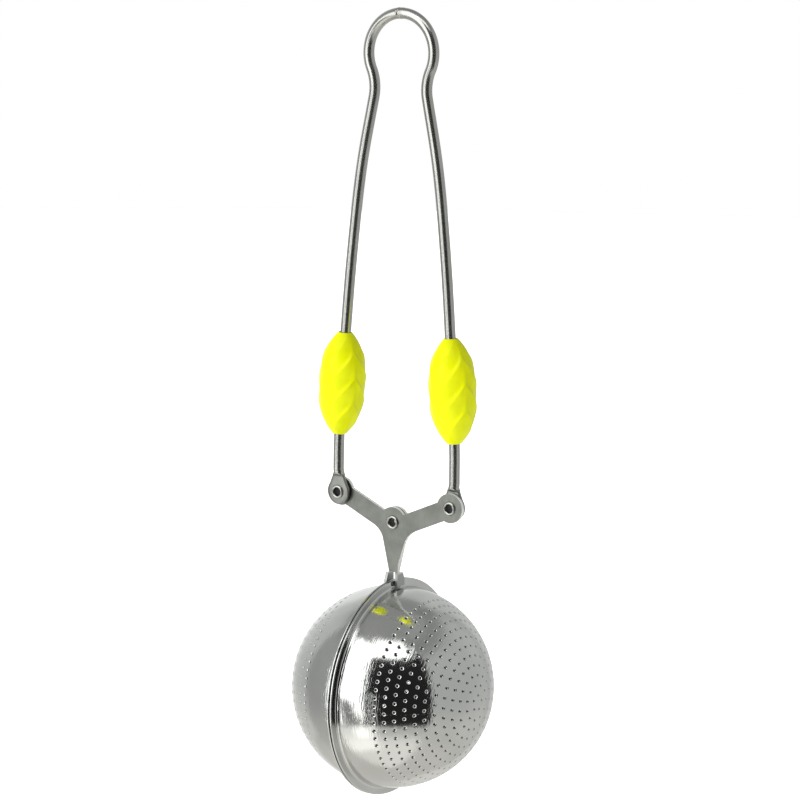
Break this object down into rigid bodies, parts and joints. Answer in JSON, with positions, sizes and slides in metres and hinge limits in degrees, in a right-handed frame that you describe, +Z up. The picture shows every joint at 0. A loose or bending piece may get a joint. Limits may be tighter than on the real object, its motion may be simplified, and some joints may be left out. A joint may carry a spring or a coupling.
{
  "type": "tea infuser",
  "caption": "Hand-held tea infuser: a perforated ball in two halves on crossed levers, opened by squeezing a sprung wire handle with two grips and a hanging loop.",
  "frame": {"origin": "where a hook bears inside the top of the hanging loop", "axes": "+Z up along the handle from the ball to the loop, +X towards the right-hand half of the ball, -Y towards the front, where the right-hand lever lies over the left-hand one"},
  "size_m": [0.0472, 0.051, 0.1822],
  "materials": {
    "wire_steel": "polished",
    "weld_steel": "satin",
    "grip_plastic": "satin",
    "lever_steel": "satin",
    "rivet_steel": "polished",
    "shell_steel": "polished"
  },
  "bodies": {
    "centre_pivot": {"centre_rivet": "rivet_steel"},
    "left_lever": {"left_lever": "lever_steel", "left_shell": "shell_steel", "left_rivet": "rivet_steel"},
    "right_lever": {"right_lever": "lever_steel", "right_shell": "shell_steel", "right_rivet": "rivet_steel"},
    "left_handle": {"handle_wire_left": "wire_steel", "left_grip": "grip_plastic", "handle_weld": "weld_steel"},
    "right_handle": {"handle_wire_right": "wire_steel", "right_grip": "grip_plastic"}
  },
  "joints": [
    {"name": "squeeze", "type": "hinge", "parent": "centre_pivot", "child": "left_lever", "pos_m": [0, 0, -0.11475], "axis": [0, 1, 0], "range_deg": [0, 55], "stiffness_Nm_per_rad": 0.12, "springref_deg": -22.92},
    {"name": "right_lever_turn", "type": "hinge", "parent": "centre_pivot", "child": "right_lever", "pos_m": [0, 0, -0.11475], "axis": [0, -1, 0], "range_deg": [0, 55]},
    {"name": "left_handle_turn", "type": "hinge", "parent": "left_lever", "child": "left_handle", "pos_m": [-0.01555, 0, -0.1095], "axis": [0, -1, 0], "range_deg": [0, 60.7]},
    {"name": "right_handle_turn", "type": "hinge", "parent": "right_lever", "child": "right_handle", "pos_m": [0.01555, 0, -0.1095], "axis": [0, 1, 0], "range_deg": [0, 60.7]}
  ],
  "couplings": [
    {"joint": "right_lever_turn", "follows": "squeeze", "ratio": 1},
    {"joint": "left_handle_turn", "follows": "squeeze", "ratio": 1.1023},
    {"joint": "right_handle_turn", "follows": "squeeze", "ratio": 1.1023}
  ]
}
